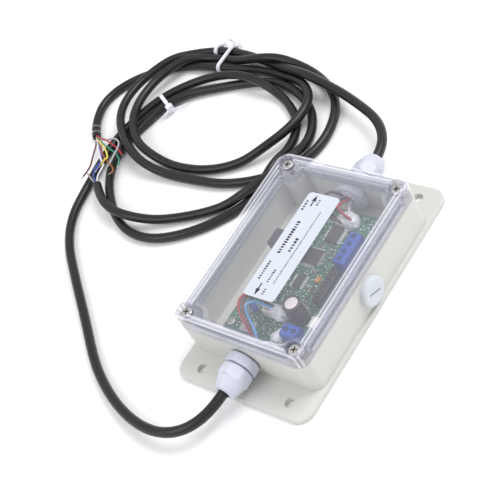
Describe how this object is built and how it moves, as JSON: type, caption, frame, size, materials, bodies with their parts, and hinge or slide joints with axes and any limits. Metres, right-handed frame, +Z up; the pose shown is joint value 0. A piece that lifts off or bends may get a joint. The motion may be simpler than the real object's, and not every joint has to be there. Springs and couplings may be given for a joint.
{
  "type": "ultrasonic sensor junction box",
  "caption": "Flanged wall box with a clear screwed lid over a signal board, a cable gland at each short end, a side screw plug, and two cables in a loose tied coil with bare cores.",
  "frame": {"origin": "centre of the four flange holes, on the flat underside of the box", "axes": "+X along the box to the far gland, -Y towards the side with the screw plug, +Z up through the lid"},
  "size_m": [0.2801, 0.3022, 0.0352],
  "materials": {
    "case_abs": "fine moulded texture",
    "lid_polycarbonate": "clear polished",
    "seal_rubber": "matt",
    "label_film": "matt film",
    "screw_steel": "bright",
    "gland_nylon": "satin moulded nylon",
    "plug_nylon": "satin moulded nylon",
    "board_laminate": "solder resist",
    "chip_epoxy": "matt",
    "terminal_blue": "satin",
    "chip_ceramic": "matt",
    "capacitor_sleeve": "shrunk sleeve",
    "connector_white": "satin",
    "varistor_coat": "dipped",
    "tantalum_yellow": "matt",
    "hot_glue": "waxy",
    "cable_jacket": "soft PVC",
    "core_insulation": "several colours",
    "tie_nylon": "satin"
  },
  "bodies": {
    "base": {"enclosure_base": "case_abs", "board_sticker": "label_film", "board_screws": "screw_steel", "terminal_screws": "screw_steel", "near_gland_body": "gland_nylon", "near_gland_locknut": "gland_nylon", "near_gland_washer": "seal_rubber", "near_gland_seal": "seal_rubber", "far_gland_body": "gland_nylon", "far_gland_locknut": "gland_nylon", "far_gland_washer": "seal_rubber", "far_gland_seal": "seal_rubber", "side_plug_locknut": "plug_nylon", "circuit_board": "board_laminate", "terminal_block_outer": "terminal_blue", "terminal_block_inner": "terminal_blue", "terminal_block_near": "terminal_blue", "driver_chip": "chip_epoxy", "processor_chip": "chip_epoxy", "amplifier_chip": "chip_epoxy", "socket_strip": "chip_epoxy", "inductor": "chip_epoxy", "chip_resistors": "chip_ceramic", "electrolytic_capacitor": "capacitor_sleeve", "wire_connector": "connector_white", "small_connector": "connector_white", "varistor": "varistor_coat", "tantalum_capacitor": "tantalum_yellow", "near_glue": "hot_glue", "far_glue": "hot_glue", "near_cable": "cable_jacket", "far_cable": "cable_jacket", "near_cable_end": "cable_jacket", "far_cable_end": "cable_jacket", "cable_coil": "cable_jacket", "near_cores": "core_insulation", "far_cores": "core_insulation", "near_cable_tail_cores": "core_insulation", "far_cable_tail_cores": "core_insulation", "cable_tie_1": "tie_nylon", "cable_tie_2": "tie_nylon", "cable_tie_3": "tie_nylon"},
    "lid": {"clear_lid": "lid_polycarbonate", "lid_gasket": "seal_rubber", "lid_label": "label_film"},
    "lid_screw_1": {"lid_screw_1": "screw_steel"},
    "lid_screw_2": {"lid_screw_2": "screw_steel"},
    "lid_screw_3": {"lid_screw_3": "screw_steel"},
    "lid_screw_4": {"lid_screw_4": "screw_steel"},
    "near_cap_nut": {"near_gland_cap_nut": "gland_nylon"},
    "far_cap_nut": {"far_gland_cap_nut": "gland_nylon"},
    "plug_seal": {"side_plug_seal": "seal_rubber"},
    "side_plug": {"side_plug": "plug_nylon"}
  },
  "joints": [
    {"name": "lid_lift", "type": "slide", "parent": "base", "child": "lid", "axis": [0, 0, 1], "range_m": [0, 0.05]},
    {"name": "lid_screw_1_turn", "type": "hinge", "parent": "lid", "child": "lid_screw_1", "pos_m": [-0.0535, -0.038, 0.0306], "axis": [0, 0, 1], "continuous": true},
    {"name": "lid_screw_2_turn", "type": "hinge", "parent": "lid", "child": "lid_screw_2", "pos_m": [0.0535, -0.038, 0.0306], "axis": [0, 0, 1], "continuous": true},
    {"name": "lid_screw_3_turn", "type": "hinge", "parent": "lid", "child": "lid_screw_3", "pos_m": [0.0535, 0.038, 0.0306], "axis": [0, 0, 1], "continuous": true},
    {"name": "lid_screw_4_turn", "type": "hinge", "parent": "lid", "child": "lid_screw_4", "pos_m": [-0.0535, 0.038, 0.0306], "axis": [0, 0, 1], "continuous": true},
    {"name": "near_cap_nut_turn", "type": "hinge", "parent": "base", "child": "near_cap_nut", "pos_m": [-0.075, 0, 0.014], "axis": [-1, 0, 0], "continuous": true},
    {"name": "far_cap_nut_turn", "type": "hinge", "parent": "base", "child": "far_cap_nut", "pos_m": [0.075, 0, 0.014], "axis": [1, 0, 0], "continuous": true},
    {"name": "plug_out", "type": "slide", "parent": "base", "child": "plug_seal", "axis": [0, -1, 0], "range_m": [0, 0.009]},
    {"name": "plug_turn", "type": "hinge", "parent": "plug_seal", "child": "side_plug", "pos_m": [0, -0.045, 0.014], "axis": [0, -1, 0], "range_deg": [-5, 2165]}
  ],
  "couplings": [
    {"joint": "plug_turn", "follows": "plug_out", "rad_per_m": 4188.8}
  ]
}
